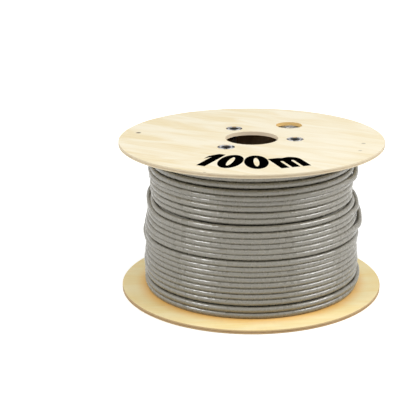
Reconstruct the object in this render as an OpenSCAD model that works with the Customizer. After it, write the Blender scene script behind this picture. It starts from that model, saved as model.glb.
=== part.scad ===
// Plywood cable reel, wound with about 100 m of shielded four-pair network cable.
// Lengths are in millimetres. +Z runs up the axis of the reel, z = 0 is the underside of the
// lower flange, and -Y is the front. The outer end of the cable lies at the back.

/* [Flanges] */
// Diameter of both flanges
flange_d = 280; // [270:1:340]
// Thickness of the plywood
flange_t = 4; // [3.9:0.1:9]
// Clear width between the two flanges
traverse = 155.1; // [100:0.1:220]
// Bevel that the sanding leaves on the edges
edge_ease = 0.4; // [0.2:0.1:0.8]
// Diameter of the bore for the arbor
bore_d = 56; // [40:1:68]
// Diameter of the drive hole beside the bore
drive_hole_d = 29; // [16:1:34]
// Distance from the axis to the drive hole
drive_hole_r = 70.6; // [66:0.2:84]
// Angle of the drive hole, anticlockwise from +X
drive_hole_angle = 54.5; // [40:0.5:70]

/* [Barrel] */
// Outer diameter of the cardboard barrel
barrel_d = 136; // [124:1:166]
// Wall of the barrel
barrel_wall = 4.5; // [3:0.1:7]
// Depth of the groove in each flange that seats the barrel
seat_depth = 1.5; // [1:0.1:2]
// Clearance on each side of the barrel in its groove
seat_clear = 0.15; // [0.1:0.05:0.4]
// How far the ends of the barrel are cut back around and under a drive hole
hole_relief = 0.3; // [0.2:0.1:0.6]

/* [Tie bolts] */
// Number of tie bolts, which clamp the flanges on the barrel
bolt_count = 3; // [3]
// Diameter of the circle that the tie bolts stand on
bolt_circle_d = 91.4; // [86:0.2:96]
// Angle of the first tie bolt
bolt_angle = -5; // [-12:1:4]
// Diameter of the bolt's shank
bolt_d = 6; // [5:0.5:7]
// Diameter of the bolt's flat head
bolt_head_d = 14; // [12:0.5:17]
// Thickness of the bolt's flat head
bolt_head_t = 2.2; // [1.6:0.1:2.4]
// Width across the flats of the hexagon socket in the head
socket_af = 4; // [3:0.5:5]
// Depth of the hexagon socket
socket_depth = 1.3; // [0.8:0.1:1.4]
// Distance from the bolt's tip to the upper face of the reel
bolt_tip_drop = 2.5; // [1:0.1:3.5]
// Radial clearance of a bolt in the wood
bolt_clear = 0.3; // [0.2:0.1:0.5]

/* [Tee nuts] */
// Diameter of the tee nut's flange
tee_d = 18; // [17:0.5:22]
// Thickness of the tee nut's flange
tee_t = 1.3; // [1:0.1:1.4]
// Diameter of the tee nut's barrel
tee_barrel_d = 8; // [8:0.1:9]
// Length of the tee nut under its flange
tee_barrel_l = 8; // [6:0.5:12]
// Width of a prong
prong_w = 2.8; // [2:0.1:3.2]
// Thickness of a prong
prong_t = 1.2; // [1:0.1:1.3]
// Length of a prong under the flange
prong_l = 2.2; // [1.8:0.1:2.3]
// Radial clearance of the bolt in the tee nut
thread_clear = 0.05; // [0.03:0.01:0.1]
// Clearance of the tee nut in the wood
tee_clear = 0.1; // [0.05:0.05:0.2]

/* [Cable] */
// Diameter of the cable over its jacket
cable_d = 6; // [5:0.1:7.2]
// Number of layers on the barrel
layers = 7; // [4:1:7]
// Radial step from one layer to the next
layer_rise = 6.45; // [5.2:0.05:6.6]
// Clearance between the winding and the reel
wind_clear = 0.3; // [0.2:0.1:0.5]
// Depth of the valley between two turns
valley = 1.8; // [1:0.1:2.4]

/* [Stripped end] */
// Diameter of the braid where it leaves the jacket
braid_d = 4.6; // [4:0.1:4.8]
// Diameter of the braid where its strands spread out
braid_end_d = 8.4; // [7.5:0.1:9]
// Length of the braid that is laid bare
braid_l = 16; // [10:0.5:18]
// Diameter of a pair in its foil
foil_d = 1.9; // [1.7:0.1:2]
// Length of foil past the braid
foil_l = 14; // [8:0.5:15]
// Diameter of an insulated wire
wire_d = 1; // [0.9:0.05:1.1]
// Length of wire past the foil
wire_l = 12; // [8:0.5:13]
// Diameter of a copper conductor
core_d = 0.5; // [0.4:0.02:0.58]
// Clearance between one bared piece and the next
strip_clear = 0.1; // [0.05:0.05:0.2]
// Angle between one pair and the next
pair_fan = 9; // [6:0.5:10]
// Angle that the bared end rises by
strip_rise = 6; // [5.5:0.5:8]

/* [Staples] */
// Diameter of the staple's wire
staple_wire_d = 1.2; // [1:0.1:1.6]
// Clearance between a staple and the cable
staple_clear = 0.15; // [0.1:0.05:0.3]
// Depth that a leg is driven into the flange
staple_grip = 3.2; // [2:0.1:3.4]
// Clearance around a leg in the wood
leg_clear = 0.05; // [0.03:0.01:0.1]

/* [Hidden] */
$fn = 96;
cut = 0.1; // how far a cutter runs past the face it opens

upper_z = flange_t + traverse; // underside of the upper flange
reel_h = upper_z + flange_t;
barrel_in_r = barrel_d / 2 - barrel_wall;
seat_play = 0.1; // the barrel stops short of the groove's floor by this much
head_sink = bolt_head_t + 0.2;
socket_fn = 6;

turns = floor((traverse - 2 * wind_clear) / cable_d);
turn_pitch = (traverse - 2 * wind_clear) / turns;
winding_in_r = barrel_d / 2 + wind_clear;
winding_r = winding_in_r + cable_d + (layers - 1) * layer_rise;

// The outer end of the cable leaves the lowest turn at the back and lies on the lower flange.
tail_z = flange_t + cable_d / 2 + 0.1;
tail_route = [
    [57.5, 101], [54, 103.5], [50, 106.5], [45, 110], [39.5, 113], [33.5, 116], [27, 118.5],
    [20, 121], [12.5, 123], [5, 124.5], [-3, 125.5], [-11, 125.5], [-19, 125], [-27, 123.5],
    [-35, 121], [-43, 118], [-50.5, 114.5], [-58, 110],
];
tail_sides = 12;
staple_spots = [7, 14]; // points of the route that a staple straddles
tail_last = len(tail_route) - 1;
tail_run = tail_route[tail_last] - tail_route[tail_last - 1];
tail_heading = atan2(tail_run.y, tail_run.x);
strip_turn = 5; // the bared end turns this much further inwards
pair_step = foil_d + 0.2; // between the middles of two pairs where they leave the braid
wire_splay = 2; // half the angle between the two wires of a pair

wood = "#ecd9ae";
zinc = "#b9bcc0";
jacket_grey = "#8f8b80";

// ---- Reel ----

module at_bolts(i) {
    rotate([0, 0, bolt_angle + i * 360 / bolt_count])
        translate([bolt_circle_d / 2, 0, 0])
            rotate([0, 0, -bolt_angle - i * 360 / bolt_count])
                children();
}

module flange_disc() {
    rotate_extrude()
        polygon([
            [0, 0], [flange_d / 2 - edge_ease, 0], [flange_d / 2, edge_ease],
            [flange_d / 2, flange_t - edge_ease], [flange_d / 2 - edge_ease, flange_t],
            [0, flange_t],
        ]);
}

module drive_hole() {
    rotate([0, 0, drive_hole_angle])
        translate([drive_hole_r, 0, -cut])
            cylinder(d = drive_hole_d, h = flange_t + 2 * cut);
}

// Room for a drive pin in one end of the barrel, cut upwards from z = 0.
module barrel_notch() {
    rotate([0, 0, drive_hole_angle])
        translate([drive_hole_r, 0, -hole_relief])
            cylinder(r = drive_hole_d / 2 + hole_relief, h = seat_depth + 2 * hole_relief);
}

// Groove for one end of the barrel, cut downwards from z = 0.
module barrel_seat() {
    translate([0, 0, -seat_depth])
        difference() {
            cylinder(d = barrel_d + 2 * seat_clear, h = seat_depth + cut);
            translate([0, 0, -cut])
                cylinder(r = barrel_in_r - seat_clear, h = seat_depth + 3 * cut);
        }
}

module flange_blank() {
    difference() {
        flange_disc();
        translate([0, 0, -cut]) cylinder(d = bore_d, h = flange_t + 2 * cut);
        drive_hole();
    }
}

module tee_pocket() {
    translate([0, 0, flange_t - tee_t]) cylinder(d = tee_d + 2 * tee_clear, h = tee_t + cut);
    translate([0, 0, -cut])
        cylinder(d = tee_barrel_d + 2 * tee_clear, h = flange_t + 2 * cut);
    prongs(prong_w + 2 * tee_clear, prong_t + 2 * tee_clear, prong_l + tee_clear);
}

module upper_flange() {
    color(wood)
        translate([0, 0, upper_z])
            difference() {
                flange_blank();
                mirror([0, 0, 1]) barrel_seat();
                for (i = [0 : bolt_count - 1]) at_bolts(i) tee_pocket();
            }
}

module lower_flange() {
    color(wood)
        difference() {
            flange_blank();
            translate([0, 0, flange_t]) barrel_seat();
            for (i = [0 : bolt_count - 1])
                at_bolts(i)
                    translate([0, 0, -cut]) {
                        cylinder(d = bolt_d + 2 * bolt_clear, h = flange_t + 2 * cut);
                        cylinder(d = bolt_head_d + 2 * bolt_clear, h = head_sink + cut);
                    }
            for (spot = staple_spots) at_staple(spot) staple_legs(leg_clear);
        }
}

module barrel_tube() {
    color("#b08d62")
        difference() {
            translate([0, 0, flange_t - seat_depth + seat_play])
                cylinder(d = barrel_d, h = traverse + 2 * (seat_depth - seat_play));
            translate([0, 0, flange_t - seat_depth])
                cylinder(r = barrel_in_r, h = traverse + 2 * seat_depth);
            translate([0, 0, upper_z]) barrel_notch();
            translate([0, 0, flange_t]) mirror([0, 0, 1]) barrel_notch();
        }
}

// ---- Fasteners ----

module tie_bolt(i) {
    color(zinc)
        at_bolts(i)
            translate([0, 0, head_sink - bolt_head_t])
                difference() {
                    union() {
                        cylinder(d = bolt_head_d, h = bolt_head_t);
                        cylinder(d = bolt_d, h = reel_h - bolt_tip_drop - head_sink + bolt_head_t);
                    }
                    translate([0, 0, -cut])
                        cylinder(r = socket_af / 2 / cos(30), h = socket_depth + cut, $fn = socket_fn);
                }
}

// The four prongs of a tee nut, for a flange whose top is at flange_t.
module prongs(w, t, l) {
    prong_mid_r = tee_d / 2 - 2.2 * prong_t;
    for (a = [0 : 90 : 270])
        rotate([0, 0, a])
            translate([prong_mid_r - t / 2, -w / 2, flange_t - tee_t - l])
                cube([t, w, l + cut]);
}

module tee_nut(i) {
    notch_w = prong_w + 1;
    color(zinc)
        translate([0, 0, upper_z])
            at_bolts(i) {
                difference() {
                    union() {
                        translate([0, 0, flange_t - tee_t]) cylinder(d = tee_d, h = tee_t);
                        translate([0, 0, flange_t - tee_t - tee_barrel_l])
                            cylinder(d = tee_barrel_d, h = tee_barrel_l + tee_t / 2);
                    }
                    translate([0, 0, flange_t - tee_t - tee_barrel_l - cut])
                        cylinder(d = bolt_d + 2 * thread_clear, h = tee_barrel_l + tee_t + 2 * cut);
                    for (a = [0 : 90 : 270])
                        rotate([0, 0, a])
                            translate([tee_d / 2 - 1.6 * prong_t, -notch_w / 2, flange_t - tee_t - cut])
                                cube([2 * prong_t, notch_w, tee_t + 2 * cut]);
                }
                prongs(prong_w, prong_t, prong_l);
            }
}

// ---- Cable ----

// One closed ring for all the turns on the barrel, with a bead for each turn of the outer layer.
module cable_winding() {
    bead_r = winding_r - cable_d / 2;
    color(jacket_grey)
        rotate_extrude()
            union() {
                translate([winding_in_r, flange_t + wind_clear])
                    square([winding_r - valley - winding_in_r, turns * turn_pitch]);
                for (i = [0 : turns - 1])
                    translate([bead_r, flange_t + wind_clear + (i + 0.5) * turn_pitch])
                        circle(d = cable_d);
            }
}

function flat_unit(v) = v / norm(v);
function route_run(i) =
    flat_unit(tail_route[min(i + 1, tail_last)] - tail_route[max(i - 1, 0)]);
function tail_ring(i) =
    let (run = route_run(i), side = [run.y, -run.x])
    [
        for (k = [0 : tail_sides - 1])
            let (a = k * 360 / tail_sides, out = side * cos(a) * cable_d / 2)
            [tail_route[i].x + out.x, tail_route[i].y + out.y, tail_z + sin(a) * cable_d / 2]
    ];

module cable_tail() {
    points = [for (i = [0 : tail_last]) each tail_ring(i)];
    walls = [
        for (i = [0 : tail_last - 1], k = [0 : tail_sides - 1])
            let (n = (k + 1) % tail_sides)
            [
                i * tail_sides + k, (i + 1) * tail_sides + k,
                (i + 1) * tail_sides + n, i * tail_sides + n,
            ]
    ];
    start_cap = [for (k = [0 : tail_sides - 1]) k];
    end_cap = [for (k = [tail_sides - 1 : -1 : 0]) tail_last * tail_sides + k];
    color(jacket_grey) polyhedron(points, concat([start_cap, end_cap], walls), convexity = 4);
}

module at_staple(spot) {
    run = route_run(spot);
    translate([tail_route[spot].x, tail_route[spot].y, tail_z])
        rotate([0, 0, atan2(run.y, run.x)])
            children();
}

bend_r = cable_d / 2 + staple_clear + staple_wire_d / 2; // middle line of the staple's crown

module staple_legs(grow) {
    for (side = [-1, 1])
        translate([0, side * bend_r, flange_t - staple_grip - tail_z - grow])
            cylinder(d = staple_wire_d + 2 * grow, h = staple_grip + tail_z - flange_t + grow);
}

module staple(spot) {
    color(zinc)
        at_staple(spot) {
            staple_legs(0);
            rotate([90, 0, 90])
                rotate_extrude(angle = 180)
                    translate([bend_r, 0]) circle(d = staple_wire_d);
        }
}

// ---- Stripped end ----

// Places its children at the cut end of the jacket, with +X along the bared cable.
module at_strip() {
    translate([tail_route[tail_last].x, tail_route[tail_last].y, tail_z])
        rotate([0, 0, tail_heading])
            translate([strip_clear, 0, 0])
                rotate([0, -strip_rise, strip_turn])
                    children();
}

module rod(d, l) {
    rotate([0, 90, 0]) cylinder(d = d, h = l);
}

module cable_braid() {
    full_l = 0.75 * braid_l; // the strands reach their full spread here
    color("#7c7c7c")
        at_strip()
            rotate([0, 90, 0])
                rotate_extrude()
                    polygon([
                        [0, 0.3], [braid_d / 2, 0.3], [braid_end_d / 2, full_l],
                        [braid_end_d / 2, braid_l], [0, braid_l],
                    ]);
}

// Places its children where pair k leaves the braid, with +X along the pair.
module at_pair(k) {
    at_strip()
        translate([braid_l + 0.4, (k - 1.5) * pair_step, 0])
            rotate([0, 0, (k - 1.5) * pair_fan])
                children();
}

module foil(k) {
    color("#c4c6c8") at_pair(k) rod(foil_d, foil_l);
}

// side is 1 for the coloured wire of a pair and -1 for its mate.
module at_wire(k, side) {
    at_pair(k)
        translate([foil_l + strip_clear, side * (wire_d / 2 + strip_clear), 0])
            rotate([0, 0, side * wire_splay])
                children();
}

module wire(k, side, tint) {
    color(tint)
        at_wire(k, side)
            difference() {
                rod(wire_d, wire_l);
                translate([-cut, 0, 0]) rod(core_d + 0.06, wire_l + 2 * cut);
            }
}

module core(k, side) {
    color("#c77b4a") at_wire(k, side) rod(core_d, wire_l);
}

upper_flange();
lower_flange();
barrel_tube();
tie_bolt(0);  // tie_bolt_1
tie_bolt(1);  // tie_bolt_2
tie_bolt(2);  // tie_bolt_3
tee_nut(0);  // tee_nut_1
tee_nut(1);  // tee_nut_2
tee_nut(2);  // tee_nut_3
cable_winding();
cable_tail();
staple(staple_spots[0]);  // staple_1
staple(staple_spots[1]);  // staple_2
cable_braid();
foil(0);  // foil_blue
foil(1);  // foil_orange
foil(2);  // foil_green
foil(3);  // foil_brown
wire(0, 1, "#2b62b8");  // wire_blue
wire(0, -1, "#eceaf2");  // wire_blue_mate
wire(1, 1, "#f07a2a");  // wire_orange
wire(1, -1, "#eceaf2");  // wire_orange_mate
wire(2, 1, "#39a86b");  // wire_green
wire(2, -1, "#e8507c");  // wire_green_mate
wire(3, 1, "#9a5a4c");  // wire_brown
wire(3, -1, "#eceaf2");  // wire_brown_mate
core(0, 1);  // core_blue
core(0, -1);  // core_blue_mate
core(1, 1);  // core_orange
core(1, -1);  // core_orange_mate
core(2, 1);  // core_green
core(2, -1);  // core_green_mate
core(3, 1);  // core_brown
core(3, -1);  // core_brown_mate
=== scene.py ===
import math
import random

import bmesh
import bpy
from mathutils import Matrix, Vector


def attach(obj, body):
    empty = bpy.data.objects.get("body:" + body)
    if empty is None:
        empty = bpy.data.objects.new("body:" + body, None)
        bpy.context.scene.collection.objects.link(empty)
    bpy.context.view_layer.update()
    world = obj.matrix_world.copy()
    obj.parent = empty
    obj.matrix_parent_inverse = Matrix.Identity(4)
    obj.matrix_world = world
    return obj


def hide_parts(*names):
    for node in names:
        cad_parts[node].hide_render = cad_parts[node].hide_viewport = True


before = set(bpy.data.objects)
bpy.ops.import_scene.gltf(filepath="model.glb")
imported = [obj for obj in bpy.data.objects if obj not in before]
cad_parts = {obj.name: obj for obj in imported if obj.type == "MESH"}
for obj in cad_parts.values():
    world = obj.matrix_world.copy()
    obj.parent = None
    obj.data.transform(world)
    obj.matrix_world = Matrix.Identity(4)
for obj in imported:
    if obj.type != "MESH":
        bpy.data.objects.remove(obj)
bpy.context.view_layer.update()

mm = 0.001
scene = bpy.context.scene
scene.view_settings.view_transform = "Standard"

reel = {
    "ply": 4.0,          # thickness of a flange, all lengths here are in millimetres
    "upperZ": 159.1,     # underside of the upper flange
    "height": 163.1,
    "rim": 140.0,        # radius of the flanges
    "boltCircle": 45.7,
    "boltAngles": (-5, 115, 235),
}


# Small helpers

def endEdit():
    bpy.ops.object.mode_set(mode="OBJECT")


def clearSelection():
    if bpy.context.object and bpy.context.object.mode != "OBJECT":
        endEdit()
    bpy.ops.object.select_all(action="DESELECT")


def pickOnly(piece):
    clearSelection()
    bpy.context.view_layer.objects.active = piece
    piece.select_set(True)


def startEdit(piece):
    pickOnly(piece)
    bpy.ops.object.mode_set(mode="EDIT")
    bpy.ops.mesh.select_mode(type="FACE")


def pickFaces(piece, wanted):  # selects faces by their middle and normal, in millimetres
    bpy.ops.mesh.select_all(action="DESELECT")
    mesh = bmesh.from_edit_mesh(piece.data)
    for face in mesh.faces:
        face.select_set(wanted(face.calc_center_median() / mm, face.normal))
    bmesh.update_edit_mesh(piece.data)


def pickEdges(piece, wanted):
    bpy.ops.mesh.select_mode(type="EDGE")
    bpy.ops.mesh.select_all(action="DESELECT")
    mesh = bmesh.from_edit_mesh(piece.data)
    for edge in mesh.edges:
        edge.select_set(wanted([corner.co / mm for corner in edge.verts]))
    bmesh.update_edit_mesh(piece.data)


def extrudeBy(x, y, z):
    bpy.ops.mesh.extrude_region_move(TRANSFORM_OT_translate={"value": (x * mm, y * mm, z * mm)})


def applyPlace():  # of the picked object
    bpy.ops.object.transform_apply(location=True, rotation=True, scale=True)


def addObject(name, data):
    made = bpy.data.objects.new(name, data)
    bpy.context.collection.objects.link(made)
    return made


def addCylinder(sides, radius, low, high):  # upright at the origin, in millimetres
    clearSelection()
    bpy.ops.mesh.primitive_cylinder_add(vertices=sides, radius=radius * mm, depth=(high - low) * mm,
                                        location=(0, 0, (low + high) / 2 * mm))
    applyPlace()
    return bpy.context.object


def addBlock(size, middle):  # both in millimetres
    clearSelection()
    bpy.ops.mesh.primitive_cube_add(size=1)
    block = bpy.context.object
    block.scale = Vector(size) * mm
    block.location = Vector(middle) * mm
    applyPlace()
    return block


def applyModifier(piece, kind, **settings):
    pickOnly(piece)
    modifier = piece.modifiers.new(kind.title(), kind)
    for name, value in settings.items():
        setattr(modifier, name, value)
    bpy.ops.object.modifier_apply(modifier=modifier.name)


def cutWith(piece, cutter):
    applyModifier(piece, "BOOLEAN", operation="DIFFERENCE", solver="EXACT", object=cutter)
    bpy.data.objects.remove(cutter)


def joinInto(piece, others):
    pickOnly(piece)
    for other in others:
        other.select_set(True)
    bpy.ops.object.join()
    return piece


def settle(piece, name):  # place and size go into the mesh, and the faces turn outwards
    pickOnly(piece)
    applyPlace()
    bpy.ops.object.mode_set(mode="EDIT")
    bpy.ops.mesh.select_all(action="SELECT")
    bpy.ops.mesh.remove_doubles(threshold=0.000001)
    bpy.ops.mesh.normals_make_consistent(inside=False)
    endEdit()
    bpy.ops.object.shade_smooth_by_angle(angle=math.radians(35))
    piece.name = name
    piece.data.name = name
    return piece


def copyTo(piece, name, place):  # each copy has its own mesh
    mesh = piece.data.copy()
    mesh.transform(place)
    mesh.name = name
    return addObject(name, mesh)


def finishPiece(piece, material, slot, *nodes):
    piece.data.materials.clear()
    piece.data.materials.append(material)
    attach(piece, "root")
    if nodes:
        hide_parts(*nodes)
    return piece


def easeStep(t):
    t = min(max(t, 0.0), 1.0)
    return t * t * (3 - 2 * t)


def readTable(table, x):  # straight lines between the entries
    for (x0, y0), (x1, y1) in zip(table, table[1:]):
        if x <= x1:
            return y0 + (y1 - y0) * max(x - x0, 0.0) / (x1 - x0)
    return table[-1][1]


def smoothLine(points, steps):  # a curve through the points, with steps parts between two of them
    line = []
    last = len(points) - 1
    for i in range(last):
        p0 = points[max(i - 1, 0)]
        p1 = points[i]
        p2 = points[i + 1]
        p3 = points[min(i + 2, last)]
        for k in range(steps):
            t = k / steps
            line.append(0.5 * (2 * p1 + (p2 - p0) * t + (2 * p0 - 5 * p1 + 4 * p2 - p3) * t * t
                               + (3 * p1 - p0 - 3 * p2 + p3) * t * t * t))
    line.append(points[last].copy())
    return line


def lineLength(line):
    return sum((b - a).length for a, b in zip(line, line[1:]))


def tubeAlong(name, line, radius, sides, capStart=True, capEnd=True, shape=None, smooth=True):
    # Round tube on a line in millimetres. Its UV map runs in metres along it and 0 to 1 around it.
    # shape(i, k) gives a share of the radius for ring i and side k.
    points = []
    lengths = [0.0]
    last = len(line) - 1
    for i, middle in enumerate(line):
        run = (line[min(i + 1, last)] - line[max(i - 1, 0)]).normalized()
        side = run.cross(Vector((0, 0, 1))).normalized()
        up = side.cross(run)
        size = radius[i] if isinstance(radius, list) else radius
        for k in range(sides):
            turn = 2 * math.pi * k / sides
            reach = size * (shape(i, k) if shape else 1.0)
            points.append((middle + (side * math.cos(turn) + up * math.sin(turn)) * reach) * mm)
        if i:
            lengths.append(lengths[-1] + (middle - line[i - 1]).length * mm)
    faces = []
    uvs = []
    for i in range(last):
        for k in range(sides):
            n = (k + 1) % sides
            faces.append((i * sides + k, (i + 1) * sides + k, (i + 1) * sides + n, i * sides + n))
            v0 = k / sides
            v1 = (k + 1) / sides
            uvs += [(lengths[i], v0), (lengths[i + 1], v0), (lengths[i + 1], v1), (lengths[i], v1)]
    if capStart:
        faces.append(tuple(range(sides)))
        uvs += [(0.0, 0.5)] * sides
    if capEnd:
        faces.append(tuple(last * sides + k for k in reversed(range(sides))))
        uvs += [(lengths[-1], 0.5)] * sides
    mesh = bpy.data.meshes.new(name)
    mesh.from_pydata(points, [], faces)
    layer = mesh.uv_layers.new(name="along")
    layer.data.foreach_set("uv", [number for pair in uvs for number in pair])
    mesh.polygons.foreach_set("use_smooth", [smooth] * len(faces))
    mesh.update()
    return addObject(name, mesh)


def cutSquare(piece, line, radius, inner):  # the open end of a tube gets its wall, inner is a share
    tip = line[-1]
    run = (line[-1] - line[-2]).normalized()
    startEdit(piece)
    pickEdges(piece, lambda ends: all(abs((p - tip).dot(run)) < 0.05 for p in ends)
              and all((p - tip).length < radius * 1.1 for p in ends))
    bpy.ops.mesh.extrude_region_move()
    bpy.ops.transform.resize(value=(inner, inner, inner))


# Camera

cameraSet = {
    "place": (0.0, -1.1958, 0.4691),
    "pitch": 17.4,       # degrees down from level
    "roll": 0.24,
    "lens": 105.19,
    "sensor": 36.0,
    "shift": (-0.1288, 0.0004),
}
cameraData = bpy.data.cameras.new("camera")
cameraData.lens = cameraSet["lens"]
cameraData.sensor_width = cameraSet["sensor"]
cameraData.shift_x, cameraData.shift_y = cameraSet["shift"]
camera = addObject("camera", cameraData)
camera.matrix_world = (Matrix.Translation(cameraSet["place"])
                       @ Matrix.Rotation(math.radians(90 - cameraSet["pitch"]), 4, "X")
                       @ Matrix.Rotation(math.radians(cameraSet["roll"]), 4, "Z"))
scene.camera = camera
print("stage: camera set")


# The cable's free outer end

tail = {
    "cable": 6.0,
    "z": 7.1,
    "route": [(57.5, 101), (54, 103.5), (50, 106.5), (45, 110), (39.5, 113), (33.5, 116),
              (27, 118.5), (20, 121), (12.5, 123), (5, 124.5), (-3, 125.5), (-11, 125.5),
              (-19, 125), (-27, 123.5), (-35, 121), (-43, 118), (-50.5, 114.5), (-58, 110)],
    "jacketWall": 0.62,
    "hollow": 5.0,       # how deep one can look under the jacket
    "length": 0.125,     # metres from the last turn to the end of the jacket
}
route = [Vector((x, y, tail["z"])) for x, y in tail["route"]]
tailLine = smoothLine(route, 8)
print("tail length", round(lineLength(tailLine), 1), "mm")


def jacketTube(name, line):  # the jacket is cut square at its end and shows its wall
    outer = tubeAlong(name, line, tail["cable"] / 2, 24, capEnd=False)
    cutSquare(outer, line, tail["cable"] / 2, 1 - tail["jacketWall"] / (tail["cable"] / 2))
    bpy.ops.mesh.extrude_region_move()
    back = (line[-9] - line[-1]).normalized() * tail["hollow"]
    bpy.ops.transform.translate(value=back * mm)
    endEdit()
    return outer


tailPiece = jacketTube("cable_end", tailLine)
print("stage: outer end laid")


# Materials

def toLinear(code):  # sRGB hex to the linear colour that a socket takes
    parts = [int(code[i:i + 2], 16) / 255 for i in (1, 3, 5)]
    return [p / 12.92 if p <= 0.04045 else ((p + 0.055) / 1.055) ** 2.4 for p in parts] + [1.0]


def setInputs(tree, node, inputs):  # inputs holds values, colour codes, or nodes and sockets to link
    for name, value in inputs.items():
        if isinstance(value, str):
            value = toLinear(value)
        if isinstance(value, bpy.types.Node):  # a node stands for its first output in use
            value = next(socket for socket in value.outputs if socket.enabled)
        if isinstance(value, bpy.types.NodeSocket):
            tree.links.new(value, node.inputs[name])
        else:
            node.inputs[name].default_value = value


def addNode(tree, kind, inputs=None, **settings):
    node = tree.nodes.new("ShaderNode" + kind)
    for name, value in settings.items():
        setattr(node, name, value)
    setInputs(tree, node, inputs or {})
    return node


def newMaterial(name, shaderValues):
    material = bpy.data.materials.new(name)
    material.use_nodes = True
    tree = material.node_tree
    shader = tree.nodes["Principled BSDF"]
    setInputs(tree, shader, shaderValues)
    return material, tree, shader, addNode(tree, "TexCoord").outputs["Object"]


# Rotary-cut poplar plywood, sanded and left bare: pale, dull, with soft wavy streaks along its grain.
# On a cut edge the cross-grained middle veneer shows darker than the two outer ones.
plywood = {
    # how many to a metre, along the grain and across it
    "streaks": (11, 48, 1),       # 90 mm long and about 20 mm wide
    "growthLines": (9, 110, 1),   # 5 mm apart, but bent so much that they run together in places
    "fibres": (60, 2000, 400),    # 0.5 mm wide
    "edgeGrain": 160.0,           # 6 mm
    "middle": (0.16, 0.21),       # where the middle veneer ends, as a share of the thickness
    "knotShape": (0.75, 0.9, 1.0),
    "bore": (35, 50),             # from the bore's colour to the warm one between these radii in mm
    "nuts": (30, 60),             # the tee nuts' pockets lie between these radii
    # painted shade: nearly black, on the floors of the tee nuts' pockets
    "pocketShade": "#1d1610",
}


def sandedFace(tree, wood, place, across, grain, fibre):
    broad = addNode(tree, "Mapping", {"Vector": grain, "Scale": plywood["streaks"]})
    streaks = addNode(tree, "TexNoise", {"Vector": broad, "Scale": 1.0, "Detail": 3.0, "Distortion": 0.9})
    lines = addNode(tree, "Mapping", {"Vector": grain, "Scale": plywood["growthLines"]})
    growth = addNode(tree, "TexWave", {
        "Vector": lines, "Scale": 0.55, "Distortion": 11.0, "Detail": 2.0, "Detail Scale": 0.7,
    }, bands_direction="Y")
    broadShare = addNode(tree, "MapRange", {"Value": streaks, "From Min": 0.38, "From Max": 0.66})
    growthShare = addNode(tree, "MapRange", {
        "Value": growth.outputs["Fac"], "From Min": 0.2, "To Max": wood["growth"],
    })
    # the streaks change in strength from -X to +X, and the growth lines come and go with them
    strength = addNode(tree, "MapRange", {
        "Value": across, "From Min": -0.12, "From Max": 0.06,
        "To Min": wood["streaks"][0], "To Max": wood["streaks"][1],
    })
    fade = addNode(tree, "Math", {0: broadShare, 1: 1.0, 2: 0.15}, operation="MULTIPLY_ADD")
    growthSeen = addNode(tree, "Math", {0: growthShare, 1: fade}, operation="MULTIPLY")
    tanShare = addNode(tree, "Math", {0: broadShare, 1: strength, 2: growthSeen},
                       operation="MULTIPLY_ADD", use_clamp=True)
    face = addNode(tree, "Mix", {0: tanShare, 6: wood["face"], 7: wood["tan"]}, data_type="RGBA")
    fibreShare = addNode(tree, "MapRange", {
        "Value": fibre, "From Min": 0.35, "From Max": 0.75, "To Max": 0.16,
    })
    face = addNode(tree, "Mix", {0: fibreShare, 6: face, 7: wood["fibre"]}, data_type="RGBA")
    for x, y, z, size, depth in wood["knots"]:  # pin knots and one small bruise
        away = addNode(tree, "VectorMath", {0: place, 1: (x * mm, y * mm, z * mm)}, operation="SUBTRACT")
        squeezed = addNode(tree, "VectorMath", {0: away, 1: plywood["knotShape"]}, operation="MULTIPLY")
        reach = addNode(tree, "VectorMath", {0: squeezed}, operation="LENGTH")
        share = addNode(tree, "MapRange", {
            "Value": reach, "From Min": size * 0.45 * mm, "From Max": size * mm,
            "To Min": depth, "To Max": 0.0,
        }, interpolation_type="SMOOTHSTEP")
        face = addNode(tree, "Mix", {0: share, 6: face, 7: wood["knot"]}, data_type="RGBA")
    return face


def cutEdge(tree, wood, place, inPly):
    fromMiddle = addNode(tree, "Math", {0: inPly, 1: 0.5}, operation="SUBTRACT")
    away = addNode(tree, "Math", {0: fromMiddle}, operation="ABSOLUTE")
    middle = addNode(tree, "MapRange", {
        "Value": away, "From Min": plywood["middle"][0], "From Max": plywood["middle"][1],
        "To Min": 1.0, "To Max": 0.0,
    })
    noise = addNode(tree, "TexNoise", {"Vector": place, "Scale": plywood["edgeGrain"], "Detail": 3.0})
    uneven = addNode(tree, "Math", {0: noise, 1: 0.9, 2: 0.1}, operation="MULTIPLY_ADD")
    share = addNode(tree, "Math", {0: middle, 1: uneven}, operation="MULTIPLY")
    return addNode(tree, "Mix", {0: share, 6: wood["edge"], 7: wood["core"]}, data_type="RGBA")


def warmed(tree, wood, colour, radius, faceShare):  # bores, and the warm ring of painted shade beside the winding
    # the ring is painted shade: deeper and warmer where the winding shades the lower flange
    inner, outer, amount = wood["warmTo"]
    shadeRing = addNode(tree, "MapRange", {
        "Value": radius, "From Min": inner * mm, "From Max": outer * mm, "To Min": amount, "To Max": 0.0,
    }, interpolation_type="SMOOTHSTEP")
    onEdge = addNode(tree, "Math", {0: 1.0, 1: faceShare}, operation="SUBTRACT")
    insideRim = addNode(tree, "Math", {0: radius, 1: 0.1}, operation="LESS_THAN")
    boreWall = addNode(tree, "Math", {0: onEdge, 1: insideRim}, operation="MULTIPLY")
    warmShare = addNode(tree, "Math", {0: boreWall, 1: 0.9, 2: shadeRing}, operation="MULTIPLY_ADD",
                        use_clamp=True)
    pastBore = addNode(tree, "MapRange", {
        "Value": radius, "From Min": plywood["bore"][0] * mm, "From Max": plywood["bore"][1] * mm,
    })
    warm = addNode(tree, "Mix", {0: pastBore, 6: wood["bore"], 7: wood["warm"]}, data_type="RGBA")
    return addNode(tree, "Mix", {0: warmShare, 6: colour, 7: warm}, data_type="RGBA")


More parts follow.
